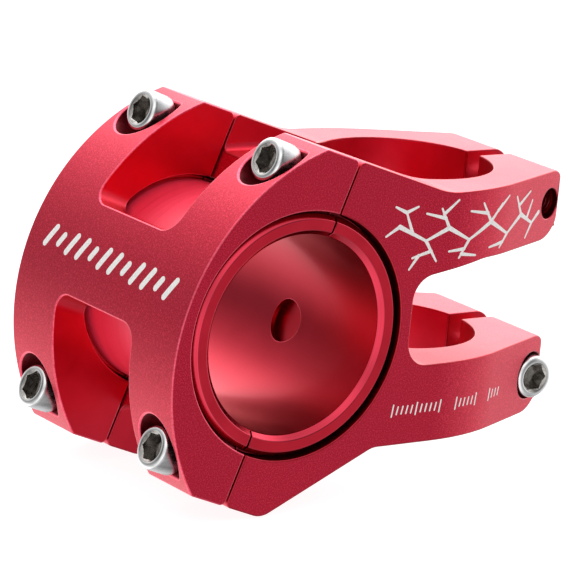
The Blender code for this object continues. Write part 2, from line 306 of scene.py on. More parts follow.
class Workpiece:
    """A solid that is cut step by step, then rounded at its edges and placed in the frame."""

    def __init__(self, name, mesh):
        self.shape = bpy.data.objects.new(name, mesh)
        bpy.context.collection.objects.link(self.shape)
        self.cutters = []

    def cut(self, mesh, place=Matrix.Identity(4), operation="DIFFERENCE"):
        """Take a mesh away from the shape, or keep only what lies inside it."""
        mesh.transform(place)
        cutter = bpy.data.objects.new(f"cutter_{mesh.name}", mesh)
        bpy.context.collection.objects.link(cutter)
        self.cutters.append(cutter)
        modifier = self.shape.modifiers.new(mesh.name, "BOOLEAN")
        modifier.operation = operation
        modifier.solver = "EXACT"
        modifier.material_mode = "TRANSFER"
        modifier.object = cutter

    def apply(self):
        """Replace the mesh by what its modifiers make of it."""
        graph = bpy.context.evaluated_depsgraph_get()
        mesh = bpy.data.meshes.new_from_object(self.shape.evaluated_get(graph),
                                               preserve_all_data_layers=True, depsgraph=graph)
        self.shape.modifiers.clear()
        self.shape.data = mesh
        for cutter in self.cutters:
            bpy.data.objects.remove(cutter, do_unlink=True)
        self.cutters = []

    def weld(self, distance):
        """Merge the slivers that the last step left along curved edges."""
        shape = bmesh.new()
        shape.from_mesh(self.shape.data)
        bmesh.ops.remove_doubles(shape, verts=shape.verts, dist=distance)
        bmesh.ops.dissolve_degenerate(shape, edges=shape.edges, dist=distance)
        shape.to_mesh(self.shape.data)
        shape.free()

    def round_edges(self, width, slot_index, segments=3, angle=30):
        """Round the edges that are sharper than an angle, and give them a look of their own."""
        modifier = self.shape.modifiers.new("edges", "BEVEL")
        modifier.width = width
        modifier.segments = segments
        modifier.limit_method = "ANGLE"
        modifier.angle_limit = math.radians(angle)
        modifier.use_clamp_overlap = False
        modifier.miter_outer = "MITER_ARC"
        modifier.face_strength_mode = "FSTR_ALL"
        modifier.material = slot_index
        self.apply()

    def place(self, matrix=Matrix.Identity(4), smooth_angle=SMOOTH_ANGLE):
        """Move the shape from its own frame to the world's, in metres, and shade it smooth."""
        mesh = self.shape.data
        mesh.transform(METRES @ matrix)
        mesh.shade_smooth()
        mesh.set_sharp_from_angle(angle=math.radians(smooth_angle))
        weighted = self.shape.modifiers.new("normals", "WEIGHTED_NORMAL")
        weighted.keep_sharp = True
        weighted.mode = "CORNER_ANGLE"
        weighted.use_face_influence = True
        return self.shape


# ---------------------------------------------------------------- cutters for bores and holes
def bore_cutter(name, look, recess_painted_shade):
    """Cutter for the handlebar bore and the recesses that take the shim's flanges."""
    inner = HALF_WIDTH - RECESS_DEPTH
    steps = [(-FAR, RECESS_R), (-inner, RECESS_R), (-inner, BAR_LAND_R),
             (inner, BAR_LAND_R), (inner, RECESS_R), (FAR, RECESS_R)]
    mesh = cylinder(name, "Y", steps, BORE_SEGMENTS, look)
    mesh.materials.append(recess_painted_shade)
    # the recesses' walls take the painted-shade red
    for face in mesh.polygons:
        if math.hypot(face.center.x, face.center.z) > BAR_LAND_R + GAP:
            face.material_index = 1
    return mesh


def pocketed(name, axis, start, seat, pocket, look):
    """Cutter for a plain hole that widens at the seat into the pocket of a screw's head."""
    steps = [(start, HOLE_R), (seat, HOLE_R), (seat, pocket), (FAR, pocket)]
    return cylinder(name, axis, steps, HOLE_SEGMENTS, look)


def tapped(name, axis, bottom, start, end, look):
    """Cutter for a hole tapped from start to end: its radius falls and rises with each thread."""
    turns = int((end - start) / THREAD_PITCH * 2)
    steps = [(bottom, HOLE_R), (start, HOLE_R)]
    for turn in range(1, turns):
        steps.append((start + THREAD_PITCH / 2 * turn, HOLE_R - TAPPED_DEPTH * (turn % 2)))
    steps.append((start + THREAD_PITCH / 2 * turns, HOLE_R))
    steps.append((end + FAR, HOLE_R))
    return cylinder(name, axis, steps, HOLE_SEGMENTS, look)


# ---------------------------------------------------------------- stem body
def tilted(n, u):
    """World X and Z of a point n ahead of and u above the handlebar axis, square to the face."""
    spot = TILT @ Vector((n, 0, u))
    return spot.x, spot.z


def land_height(n):
    """Height of the upper land above the handlebar axis, square to the face."""
    arc_end = FACE_ARC_CENTRE + math.sqrt(FACE_ARC_R ** 2 - FACET ** 2)
    return FACET + (arc_end - n) * math.tan(math.radians(FACE_TILT - LAND_SLOPE))


def side_outline():
    """Outline of the body from the side, in world X and Z, with the gap between the bands."""
    split = SPLIT - GAP / 2
    slope = math.tan(math.radians(FACE_TILT))
    top_x, top_z = tilted(split, land_height(split))
    low_x, low_z = tilted(split, -FACET)
    meet_top = top_x - (top_z - STACK) / math.tan(math.radians(LAND_SLOPE))
    belly = math.tan(math.radians(BELLY_SLOPE))
    belly_x = (slope * low_x + belly * BELLY_START - low_z) / (belly + slope)
    belly_z = -belly * (belly_x - BELLY_START)
    return rounded([
        (top_x, top_z, EAR_CORNER), (low_x, low_z, EAR_CORNER), (belly_x, belly_z, BELLY_CORNER),
        (BELLY_START, 0, GAP_CORNER), (REAR, 0, REAR_SWEEP), (REAR, LOWER_BAND, REAR_CREST),
        (GAP_FRONT, LOWER_BAND, GAP_CORNER), (GAP_FRONT, UPPER_ROOT, GAP_CORNER),
        (UPPER_ROOT_START, UPPER_BAND, TOP_BLEND), (REAR, UPPER_BAND, REAR_SWEEP),
        (REAR, STACK, REAR_CREST), (meet_top, STACK, TOP_BLEND)])


def plan_outline():
    """Outline of the body from above: each side turns inwards on an arc, then runs straight."""
    bend = math.radians(TAPER)
    side = arc((TAPER_START, HALF_WIDTH - TAPER_R), TAPER_R, 90, 90 + TAPER, TAPER_STEPS)
    end = side[-1]
    corner = Vector((REAR, end.y - (end.x - REAR) * math.tan(bend)))
    rear = rounded([(end.x, end.y, 0), (corner.x, corner.y, REAR_CORNER), (REAR, 0, 0)])[1:-1]
    half = [Vector((REACH + FAR, HALF_WIDTH)), *side, *rear]
    return half + [Vector((p.x, -p.y)) for p in reversed(half)]


def slot_outline(floor, far, corner):
    """Slot from its flat floor, with rounded corners, to its open end."""
    return rounded([(-NOTCH_HALF, far, 0), (-NOTCH_HALF, floor, corner),
                    (NOTCH_HALF, floor, corner), (NOTCH_HALF, far, 0)])


def cut_notches(body, look):
    """Notch between each pair of ears, level with the upper band's top or the lower one's bottom."""
    for name, floor, direction in (("upper_notch", STACK, 1), ("lower_notch", 0, -1)):
        outline = slot_outline(floor, floor + direction * FAR, NOTCH_FILLET)
        body.cut(prism(name, outline, GAP_FRONT / 2, REACH + FAR, "YZ", look))


def cut_steerer_clamp(body, look):
    """Steerer bore, and the slit that opens it to the rear."""
    through = [(-FAR, STEERER_R), (FAR, STEERER_R)]
    body.cut(cylinder("steerer_bore", "Z", through, BORE_SEGMENTS, look))
    rear_low = (REAR - PAST, -SLIT_HALF, -FAR)
    front_high = (-STEERER_R / 2, SLIT_HALF, FAR)
    body.cut(block("slit", rear_low, front_high, look))


def cut_face_screw_holes(body, look):
    """Tapped holes in the ears."""
    bottom = FACE_SCREW_SEAT - FACE_SCREW_LENGTH - 2 * GAP
    for side in (-1, 1):
        for level in (-1, 1):
            spot = Matrix.Translation((0, side * FACE_SCREW_Y, level * FACE_SCREW_U))
            hole = tapped("face_hole", "X", bottom, bottom + THREAD_LEAD, SPLIT - THREAD_LEAD, look)
            body.cut(hole, TILT @ spot)


def cut_steerer_screw_holes(body, look):
    """Each band's hole: plain and pocketed on the head's side of the slit, tapped on the other."""
    flip = Matrix.Rotation(math.pi, 4, "X")
    for side, height in ((1, LOWER_SCREW_Z), (-1, UPPER_SCREW_Z)):
        turn = Matrix.Rotation(0 if side > 0 else math.pi, 4, "X")
        spot = Matrix.Translation((STEERER_SCREW_X, 0, height)) @ turn
        hole = pocketed("steerer_hole", "Y", 0, STEERER_SCREW_SEAT, STEERER_POCKET_R, look)
        body.cut(hole, spot)
        thread = tapped("steerer_thread", "Y", 0, SLIT_HALF + THREAD_LEAD, STEERER_THREAD_END, look)
        body.cut(thread, spot @ flip)


def make_body(blasted, machined, painted_shade, edge):
    """Body cut from a bar of its side outline."""
    mesh = prism("stem_shell", side_outline(), -HALF_WIDTH, HALF_WIDTH, "XZ", blasted)
    mesh.materials.append(machined)
    mesh.materials.append(edge)
    body = Workpiece("stem_shell", mesh)
    body.cut(prism("plan", plan_outline(), -FAR, FAR, "XY", blasted), operation="INTERSECT")
    cut_notches(body, machined)
    body.cut(bore_cutter("bar_bore", machined, painted_shade), TILT)
    cut_steerer_clamp(body, machined)
    # the screw holes take the painted-shade red
    cut_face_screw_holes(body, painted_shade)
    cut_steerer_screw_holes(body, painted_shade)
    body.apply()
    body.weld(CUT_SLIVER)
    body.round_edges(EDGE, EDGE_SLOT)
    body.weld(EDGE_SLIVER)
    piece = body.place()
    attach(piece, "stem")
    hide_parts("stem_body")


# ---------------------------------------------------------------- faceplate
def face_outline():
    """Outline of the faceplate from the side: flat at the parting plane, an arc in front."""
    split = SPLIT + GAP / 2
    reach = math.degrees(math.asin(FACET / FACE_ARC_R))
    front = arc((FACE_ARC_CENTRE, 0), FACE_ARC_R, -reach, reach, FACE_ARC_STEPS)
    return rounded([(split, -FACET, EAR_CORNER), *[(p.x, p.y, 0) for p in front],
                    (split, land_height(split), EAR_CORNER)])


def make_faceplate(blasted, machined, painted_shade, edge):
    """Faceplate with its windows, open at the top and the bottom, and four screw pockets."""
    mesh = prism("face_shell", face_outline(), -HALF_WIDTH, HALF_WIDTH, "XZ", blasted)
    mesh.materials.append(machined)
    mesh.materials.append(edge)
    plate = Workpiece("face_shell", mesh)
    plate.cut(bore_cutter("face_bore", machined, painted_shade))
    for level in (-1, 1):
        window = slot_outline(level * BRIDGE_HALF, level * FAR, WINDOW_CORNER)
        plate.cut(prism("window", window, -FAR, FAR, "YZ", machined))
        for side in (-1, 1):
            spot = Matrix.Translation((0, side * FACE_SCREW_Y, level * FACE_SCREW_U))
            # the screw pockets take the painted-shade red
            plate.cut(pocketed("pocket", "X", -FAR, FACE_SCREW_SEAT, POCKET_R, painted_shade), spot)
    plate.apply()
    plate.weld(CUT_SLIVER)
    plate.round_edges(EDGE, EDGE_SLOT)
    piece = plate.place(TILT)
    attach(piece, "face")
    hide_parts("faceplate")


# ---------------------------------------------------------------- reducer shim
SHIM_BORE, SHIM_CHAMFER, SHIM_PAINTED_SHADE, SHIM_OUTSIDE, SHIM_END = range(5)   # slots of its looks
CHAMFER_LEAN = (0.3, 0.9)   # least and most that a chamfer's unit normal has along the bar


def shim_profile():
    """Closed (y, radius) profile of the shim: bore, end flanges, lands and relieved middle."""
    end = SHIM_HALF_LENGTH
    shoulder = end - SHIM_FLANGE_THICK
    half = [(end - SHIM_EDGE, SHIM_BORE_R), (end, SHIM_BORE_R + SHIM_EDGE),
            (end, SHIM_FLANGE_R - SHIM_EDGE), (end - SHIM_EDGE, SHIM_FLANGE_R),
            (shoulder, SHIM_FLANGE_R), (shoulder, SHIM_LAND_R),
            (SHIM_RELIEF_HALF, SHIM_LAND_R), (SHIM_RELIEF_HALF, SHIM_RELIEF_R)]
    return half + [(-y, radius) for y, radius in reversed(half)]


def shim_look(face):
    """Which of the shim's looks a face of its turned shell takes."""
    radius = math.hypot(face.center.x, face.center.z)
    if CHAMFER_LEAN[0] < abs(face.normal.y) < CHAMFER_LEAN[1]:
        return SHIM_CHAMFER
    if abs(face.center.y) > SHIM_HALF_LENGTH - HAIR:
        return SHIM_END
    # the flanges' sides take the painted-shade red
    if radius > SHIM_LAND_R + GAP:
        return SHIM_PAINTED_SHADE
    return SHIM_OUTSIDE if radius > SHIM_BORE_R + GAP else SHIM_BORE


def make_shim(node, body, side, *looks):
    """Front (side = 1) or rear (side = -1) half of the shim; its looks come in slot order."""
    mesh = turned(f"{node}_shell", shim_profile(), BORE_SEGMENTS, looks[SHIM_BORE])
    for look in looks[1:]:
        mesh.materials.append(look)
    for face in mesh.polygons:
        face.material_index = shim_look(face)
    shim = Workpiece(f"{node}_shell", mesh)
    start, end = (SPLIT + GAP / 2, FAR) if side > 0 else (-FAR, SPLIT - GAP / 2)
    keep = block("keep", (start, -FAR, -FAR), (end, FAR, FAR), looks[SHIM_BORE])
    shim.cut(keep, operation="INTERSECT")
    if side < 0:
        steps = [(-FAR, SHIM_HOLE_R), (-SHIM_BORE_R / 2, SHIM_HOLE_R)]
        hole = cylinder("shim_hole", "X", steps, HOLE_SEGMENTS, looks[SHIM_BORE])
        shim.cut(hole, Matrix.Translation((0, SHIM_HOLE_Y, SHIM_HOLE_U)))
    shim.apply()
    shim.weld(CUT_SLIVER)
    shim.round_edges(FINE_EDGE, SHIM_CHAMFER, segments=2, angle=40)
    piece = shim.place(TILT)
    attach(piece, body)
    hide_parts(node)


# ---------------------------------------------------------------- screws
BRIGHT, HEAD_SIDE, SOCKET = range(3)    # slots of a screw's steels


def hexagon_radius(angle):
    """Distance from the socket's axis to its hexagon at one angle."""
    folded = (angle % math.radians(60)) - math.radians(30)
    return HEX_ACROSS_FLATS / 2 / math.cos(folded)


def thread_at(height):
    """Radius of a rolled thread at one height: a triangle wave that winds round the shank."""
    def radius(angle):
        phase = (height / THREAD_PITCH + angle / math.tau) % 1
        return SHANK_R - THREAD_DEPTH * abs(2 * phase - 1)
    return radius


def socket_at(depth):
    """Hexagon that opens into a countersunk mouth."""
    mouth = MOUTH_R - depth * MOUTH_SLOPE
    return lambda angle: max(hexagon_radius(angle), mouth)


def thread_rings(length):
    """Tip, thread and plain neck of a screw."""
    neck = plain(SHANK_R - THREAD_DEPTH)
    turns = int((length - SCREW_TIP - THREAD_RUNOUT) / THREAD_PITCH)
    rings = [(-length, plain(SHANK_R - SCREW_TIP))]
    for step in range(turns * THREAD_STEPS + 1):
        height = SCREW_TIP - length + THREAD_PITCH * step / THREAD_STEPS
        rings.append((height, thread_at(height)))
    rings.append((rings[-1][0] + UNDERCUT_START, neck))
    rings.append((GAP - UNDERCUT_END, neck))
    rings.append((GAP, plain(SHANK_R)))
    return rings


def head_rings():
    """Head of a screw from its seat to the flat ring on top, with both rims rounded."""
    rings = [(GAP, plain(HEAD_R - HEAD_LIP)),
             (GAP + HEAD_LIP_MIDDLE, plain(HEAD_R - HEAD_LIP_MIDDLE)),
             (GAP + HEAD_LIP, plain(HEAD_R))]
    for step in range(HEAD_ROUND_STEPS + 1):
        angle = math.radians(90 * step / HEAD_ROUND_STEPS)
        rings.append((HEAD_HEIGHT - HEAD_ROUND * (1 - math.sin(angle)),
                      plain(HEAD_R - HEAD_ROUND * (1 - math.cos(angle)))))
    rings.append((HEAD_HEIGHT, plain(MOUTH_R + MOUTH_RIM)))
    return rings


def socket_rings():
    """Socket of a screw: countersunk mouth, hexagon and drilled bottom."""
    rings = []
    for step in range(MOUTH_STEPS + 1):
        depth = MOUTH_START + MOUTH_DEPTH * step / MOUTH_STEPS
        rings.append((HEAD_HEIGHT - depth, socket_at(depth)))
    rings.append((HEAD_HEIGHT - HEX_DEPTH, socket_at(HEX_DEPTH)))
    rings.append((HEAD_HEIGHT - HEX_DEPTH, plain(DRILL_R)))
    rings.append((HEAD_HEIGHT - HEX_DEPTH - DRILL_DEPTH, plain(DRILL_POINT_R)))
    return rings


def screw_rings(length):
    """Socket screw along X: its tip at -length, its head's seat at 0 and its head above."""
    return thread_rings(length) + head_rings() + socket_rings()


def screw_look(face):
    """Which of the steels a face of a screw takes."""
    middle = face.center
    radius = math.hypot(middle.y, middle.z)
    if middle.x > GAP and radius > HEAD_R - HAIR:
        return HEAD_SIDE
    return SOCKET if GAP < middle.x < HEAD_HEIGHT - MOUTH_START and radius < MOUTH_R else BRIGHT


def make_screw(node, body, length, matrix, steels):
    """One socket screw, placed by the matrix of its own frame."""
    mesh = ring_stack(f"{node}_shell", screw_rings(length), SCREW_SEGMENTS, steels[BRIGHT])
    for look in steels[1:]:
        mesh.materials.append(look)
    for face in mesh.polygons:
        face.material_index = screw_look(face)
    piece = Workpiece(f"{node}_shell", mesh).place(matrix, smooth_angle=SCREW_SMOOTH_ANGLE)
    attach(piece, body)
    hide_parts(node)


def make_screws(steels):
    """Four screws through the faceplate, and one across each steerer band."""
    for side, side_name in ((-1, "right"), (1, "left")):
        for level, level_name in ((-1, "lower"), (1, "upper")):
            spot = (FACE_SCREW_SEAT, side * FACE_SCREW_Y, level * FACE_SCREW_U)
            own_turn = math.radians(SOCKET_TURN_SIDE * side + SOCKET_TURN_LEVEL * level)
            turn = Matrix.Rotation(own_turn, 4, "X")
            make_screw(f"faceplate_bolt_{level_name}_{side_name}",
                       f"face_bolt_{level_name}_{side_name}", FACE_SCREW_LENGTH,
                       TILT @ Matrix.Translation(spot) @ turn, steels)
    for side, height, name in ((1, LOWER_SCREW_Z, "lower"), (-1, UPPER_SCREW_Z, "upper")):
        spot = (STEERER_SCREW_X, side * STEERER_SCREW_SEAT, height)
        turn = Matrix.Rotation(side * math.radians(90), 4, "Z")
        make_screw(f"steerer_bolt_{name}", f"clamp_bolt_{name}", STEERER_SCREW_LENGTH,
                   Matrix.Translation(spot) @ turn, steels)


# ---------------------------------------------------------------- laser marks (mm)
MARK_HEIGHT = 0.012      # how far the marks stand off the surface
MARK_STEP = 0.0012       # each stroke lies this much above the one before
MARK_LAYERS = 9          # after so many strokes the steps start again
MARK_ROOT = -0.03        # underside of the marks, inside the metal
STROKE_PIECE = 0.5       # longest straight piece of a stroke
CAP_STEPS = 5            # points along each rounded end of a stroke
CAP_START = 0.35         # share of a step from a rounded end's tip to its first point

# Bars on the faceplate
BAR_COUNT = 12
BAR_ROW_HALF = 16.6
BAR_TALL = 1.5           # half heights; every third bar is short
BAR_SHORT = 0.8
BAR_SLANT = 0.55         # sideways lean for each mm of half height
BAR_WIDTH = 1.05

# Branching line on the upper band: points along X and Z
TRUNK = [(17.5, 35.6), (12.0, 33.0), (7.6, 34.8), (3.2, 32.6), (-1.6, 35.0),
         (-6.4, 32.4), (-10.4, 34.8), (-14.2, 32.8), (-16.2, 34.2)]
TWIGS = [((12.0, 33.0), (9.6, 29.6)), ((7.6, 34.8), (9.4, 38.0)), ((3.2, 32.6), (5.0, 29.8)),
         ((-1.6, 35.0), (0.6, 38.2)), ((-1.6, 35.0), (-4.2, 37.6)), ((-6.4, 32.4), (-4.6, 30.4)),
         ((-10.4, 34.8), (-8.6, 38.0)), ((14.8, 34.3), (16.4, 37.8)),
         ((16.4, 37.8), (18.6, 38.8)), ((16.4, 37.8), (14.2, 38.6)),
         ((10.8, 31.3), (14.4, 30.4)), ((8.5, 36.4), (12.4, 37.4)), ((8.9, 37.1), (6.2, 39.2)),
         ((4.1, 31.2), (7.2, 31.0)), ((4.6, 30.4), (1.4, 29.9)), ((-0.6, 36.5), (3.4, 37.2)),
         ((-3.2, 36.6), (-6.0, 38.6)), ((-5.3, 31.2), (-1.8, 30.8)),
         ((-9.5, 36.4), (-12.8, 38.2)), ((-12.4, 33.8), (-13.8, 36.6)),
         ((17.5, 35.6), (20.0, 34.2)), ((-14.2, 32.8), (-12.6, 30.6)),
         ((13.2, 30.7), (14.8, 28.6))]
TRUNK_WIDE = 0.75
TRUNK_NARROW = 0.42
TWIG_WIDTHS = (0.6, 0.34)

# Ticks on the lower band
TICK_GROUPS = ((15.2, 11), (2.2, 6), (-6.4, 4))     # foremost tick and count of each group
TICK_PITCH = 0.95
TICK_LEVEL = 5.7
TICK_TALL = 0.95         # half heights; every fifth tick is tall
TICK_SHORT = 0.6
TICK_LEAN = 0.25         # how far a tick's top stands behind its foot
TICK_WIDTH = 0.26


def on_side(along, up, height):
    """Point on the body's left side, `along` the X axis and `up` the Z axis."""
    bend = math.radians(TAPER)
    centre_y = HALF_WIDTH - TAPER_R
    end_x = TAPER_START - TAPER_R * math.sin(bend)
    if along >= TAPER_START:
        normal = Vector((0, 1, 0))
        spot = Vector((along, HALF_WIDTH, up))
    elif along >= end_x:
        lean = math.asin((TAPER_START - along) / TAPER_R)
        normal = Vector((-math.sin(lean), math.cos(lean), 0))
        spot = Vector((TAPER_START, centre_y, up)) + normal * TAPER_R
    else:
        normal = Vector((-math.sin(bend), math.cos(bend), 0))
        end = Vector((TAPER_START, centre_y, up)) + normal * TAPER_R
        spot = end + Vector((along - end_x, (along - end_x) * math.tan(bend), 0))
    return spot + normal * height


def on_face(along, up, height):
    """Point on the faceplate's outer arc, `along` the bar and `up` round the arc."""
    angle = up / FACE_ARC_R
    radius = FACE_ARC_R + height
    return TILT @ Vector((FACE_ARC_CENTRE + radius * math.cos(angle), along,
                          radius * math.sin(angle)))


def stroke_stations(length, widths):
    """(distance, half width) pairs along a stroke with round ends."""
    first, last = widths[0] / 2, widths[1] / 2
    leans = [math.radians(90 * (step + CAP_START) / CAP_STEPS) for step in range(CAP_STEPS)]
    stations = [(-first * math.cos(lean), first * math.sin(lean)) for lean in leans]
    pieces = max(2, int(length / STROKE_PIECE))
    for step in range(pieces + 1):
        share = step / pieces
        stations.append((length * share, first * (1 - share) + last * share))
    for lean in reversed(leans):
        stations.append((length + last * math.cos(lean), last * math.sin(lean)))
    return stations


def stroke(shape, start, end, widths, surface, height):
    """Thin round-ended bar laid on a surface from start to end."""
    start, end = Vector(start), Vector(end)
    run = end - start
    across = Vector((-run.y, run.x)).normalized()
    ahead = run.normalized()
    section = ((-1, MARK_ROOT), (1, MARK_ROOT), (1, height), (-1, height))
    loops = []
    for forward, half in stroke_stations(run.length, widths):
        middle = start + ahead * forward
        loop = []
        for side, level in section:
            flat = middle + across * (side * half)
            loop.append(shape.verts.new(surface(flat.x, flat.y, level)))
        loops.append(loop)
    for near, far in zip(loops, loops[1:]):
        for index in range(len(section)):
            following = (index + 1) % len(section)
            shape.faces.new((near[index], near[following], far[following], far[index]))
    shape.faces.new(loops[0])
    shape.faces.new(loops[-1])


def make_marks(name, body, strokes, surface, look):
    """One piece of strokes (start, end, widths at both ends) laid on a surface."""
    shape = bmesh.new()
    for index, (start, end, widths) in enumerate(strokes):
        height = MARK_HEIGHT + MARK_STEP * (index % MARK_LAYERS)
        stroke(shape, start, end, widths, surface, height)
    piece = Workpiece(name, finish_mesh(name, shape, look)).place()
    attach(piece, body)


def face_strokes():
    """A row of slanted bars across the faceplate's bridge."""
    strokes = []
    for index in range(BAR_COUNT):
        middle = -BAR_ROW_HALF + 2 * BAR_ROW_HALF * index / (BAR_COUNT - 1)
        tall = BAR_SHORT if index % 3 == 1 else BAR_TALL
        lean = BAR_SLANT * tall
        strokes.append(((middle - lean, -tall), (middle + lean, tall), (BAR_WIDTH, BAR_WIDTH)))
    return strokes


def side_strokes():
    """A plain branching line that runs back along the upper band."""
    strokes = []
    for index, (start, end) in enumerate(zip(TRUNK, TRUNK[1:])):
        narrows = index % 2 == 0
        widths = (TRUNK_WIDE, TRUNK_NARROW) if narrows else (TRUNK_NARROW, TRUNK_WIDE)
        strokes.append((start, end, widths))
    for start, end in TWIGS:
        strokes.append((start, end, TWIG_WIDTHS))
    return strokes


def size_strokes():
    """Groups of small leaning ticks along the lower band."""
    strokes = []
    for first, count in TICK_GROUPS:
        for index in range(count):
            along = first - TICK_PITCH * index
            tall = TICK_TALL if index % 5 == 0 else TICK_SHORT
            strokes.append(((along, TICK_LEVEL - tall), (along - TICK_LEAN, TICK_LEVEL + tall),
                            (TICK_WIDTH, TICK_WIDTH)))
    return strokes


# ---------------------------------------------------------------- materials
class Finish:
    """Small helper that builds a Principled material node by node."""

    def __init__(self, name, **sockets):
        self.material = bpy.data.materials.new(name)
        self.material.use_nodes = True
        self.nodes = self.material.node_tree.nodes
        self.links = self.material.node_tree.links
        self.shader = self.nodes["Principled BSDF"]
        for socket, value in sockets.items():
            self.shader.inputs[socket.replace("_", " ")].default_value = value
        self.coordinates = self.nodes.new("ShaderNodeTexCoord").outputs["Object"]

    def noise(self, scale, detail, roughness, vector=None):
        """Cloudy pattern in the piece's own coordinates, `scale` to the metre."""
        node = self.nodes.new("ShaderNodeTexNoise")
        node.inputs["Scale"].default_value = scale
        node.inputs["Detail"].default_value = detail
        node.inputs["Roughness"].default_value = roughness
        self.links.new(vector or self.coordinates, node.inputs["Vector"])
        return node.outputs["Fac"]

    def lines(self, scales):
        """Fine lines, as a tool leaves them: noise squeezed by a scale for each axis."""
        node = self.nodes.new("ShaderNodeMapping")
        node.inputs["Scale"].default_value = scales
        self.links.new(self.coordinates, node.inputs["Vector"])
        return self.noise(1.0, 2.0, 0.6, node.outputs["Vector"])

    def spread(self, value, low, high, start=0.35, end=0.65):
        """Map a pattern's middle range onto low to high."""
        node = self.nodes.new("ShaderNodeMapRange")
        node.inputs["From Min"].default_value = start
        node.inputs["From Max"].default_value = end
        node.inputs["To Min"].default_value = low
        node.inputs["To Max"].default_value = high
        self.links.new(value, node.inputs["Value"])
        return node.outputs["Result"]

    def tint(self, pattern, dark, light, start=0.35, end=0.65):
        """Base colour that runs from dark to light over the pattern's middle range."""
        node = self.nodes.new("ShaderNodeMix")
        node.data_type = "RGBA"
        node.inputs["A"].default_value = (*dark, 1)
        node.inputs["B"].default_value = (*light, 1)
        self.links.new(self.spread(pattern, 0, 1, start, end), node.inputs["Factor"])
        self.links.new(node.outputs["Result"], self.shader.inputs["Base Color"])

    def dull(self, pattern, low, high):
        """Roughness that follows the pattern."""
        self.links.new(self.spread(pattern, low, high), self.shader.inputs["Roughness"])

    def relief(self, pattern, strength, distance):
        """Fine bump that follows the pattern, `distance` in metres."""
        node = self.nodes.new("ShaderNodeBump")
        node.inputs["Strength"].default_value = strength
        node.inputs["Distance"].default_value = distance
        self.links.new(pattern, node.inputs["Height"])
        self.links.new(node.outputs["Normal"], self.shader.inputs["Normal"])


def blasted_red():
    """Bead-blasted and dyed: fine bright grain under a clear sealed skin."""
    look = Finish("blasted_red", Metallic=1.0, IOR=1.5, Coat_Weight=0.4, Coat_Roughness=0.25)
    look.tint(look.noise(4600, 1.0, 0.5), (0.57, 0.004, 0.034), (0.88, 0.035, 0.095), 0.45, 0.8)
    look.dull(look.noise(60, 3.0, 0.55), 0.43, 0.49)
    look.relief(look.noise(7000, 1.0, 0.5), 0.35, 0.00003)
    return look.material


def machined_red():
    """Milled and dyed: smoother, deeper red, with fine cutter lines."""
    look = Finish("machined_red", Metallic=1.0, IOR=1.5, Coat_Weight=0.35, Coat_Roughness=0.25)
    lines = look.lines((300, 3600, 300))
    look.tint(look.noise(140, 2.0, 0.5), (0.68, 0.008, 0.032), (0.74, 0.013, 0.042))
    look.dull(lines, 0.36, 0.44)
    look.relief(lines, 0.1, 0.00002)
    return look.material


def turned_red():
    """Turned on a lathe and dyed: glossy, with rings round the bar's axis."""
    look = Finish("turned_red", Metallic=1.0, IOR=1.5, Coat_Weight=0.18, Coat_Roughness=0.15)
    cloud = look.noise(110, 2.0, 0.5)
    look.tint(cloud, (0.42, 0.006, 0.022), (0.47, 0.009, 0.029))
    look.dull(cloud, 0.28, 0.33)
    look.relief(look.lines((30, 6500, 30)), 0.05, 0.00001)
    return look.material


def painted_shade_red():
    """Narrow places that the blasting missed: pockets, tapped holes, recesses and flange sides, far
    darker as painted shade.
    """
    look = Finish("painted_shade_red", Metallic=1.0, IOR=1.5, Coat_Weight=0.25, Coat_Roughness=0.3)
    lines = look.lines((2600, 300, 300))
    # painted shade: a near-black red for the hollows
    look.tint(lines, (0.17, 0.002, 0.009), (0.25, 0.004, 0.014))
    look.dull(lines, 0.34, 0.44)
    look.relief(lines, 0.08, 0.00001)
    return look.material


def shim_outside_painted_light_red():
    """Outside of the shim: turned coarser, so that it scatters light instead of mirroring it;
    brighter red as painted light.
    """
    look = Finish("shim_outside_painted_light_red", Metallic=0.5, IOR=1.5, Coat_Weight=0.5, Coat_Roughness=0.3)
    rings = look.lines((60, 4200, 60))
    # painted light: a red far brighter than the bore's, for the light that reaches it through the
    # windows
    look.tint(rings, (0.9, 0.03, 0.08), (1.0, 0.05, 0.12))
    look.dull(rings, 0.42, 0.5)
    look.relief(rings, 0.1, 0.00001)
    return look.material


def shim_bevel_red():
    """The shim's turned chamfers: glossy and bright."""
    look = Finish("shim_bevel_red", Metallic=1.0, IOR=1.5, Coat_Weight=0.4, Coat_Roughness=0.12)
    rings = look.lines((40, 5200, 40))
    look.tint(rings, (0.62, 0.02, 0.05), (0.7, 0.035, 0.075))
    look.dull(rings, 0.16, 0.22)
    look.relief(rings, 0.03, 0.00001)
    return look.material


def edge_red(name, dark, light):
    """Edges rounded after the blasting: smoother metal with a faintly broken shine, its red set per
    piece as painted light.
    """
    look = Finish(name, Metallic=1.0, IOR=1.5, Coat_Weight=0.4, Coat_Roughness=0.2)
    nicks = look.noise(3000, 2.0, 0.6)
    look.tint(nicks, dark, light)
    look.dull(nicks, 0.3, 0.4)
    look.relief(nicks, 0.1, 0.00001)
    return look.material


def polished_steel():
    """Bright plated steel with faint smears."""
    look = Finish("polished_steel", Metallic=1.0)
    smear = look.noise(500, 3.0, 0.6)
    look.tint(smear, (0.74, 0.74, 0.75), (0.88, 0.88, 0.88))
    look.dull(smear, 0.12, 0.2)
    look.relief(look.lines((5200, 700, 700)), 0.08, 0.00002)
    return look.material


def head_side_painted_shade_steel():
    """Side of a screw's head: turned, a little duller than its polished faces, and darker as a
    painted dark reflection.
    """
    look = Finish("head_side_painted_shade_steel", Metallic=1.0)
    lines = look.lines((700, 700, 1800))
    # painted shade: far darker steel than the polished faces, standing in for the dark surroundings
    # it mirrors
    look.tint(lines, (0.4, 0.4, 0.41), (0.5, 0.5, 0.51))
    look.dull(lines, 0.22, 0.3)
    look.relief(lines, 0.02, 0.000002)
    return look.material


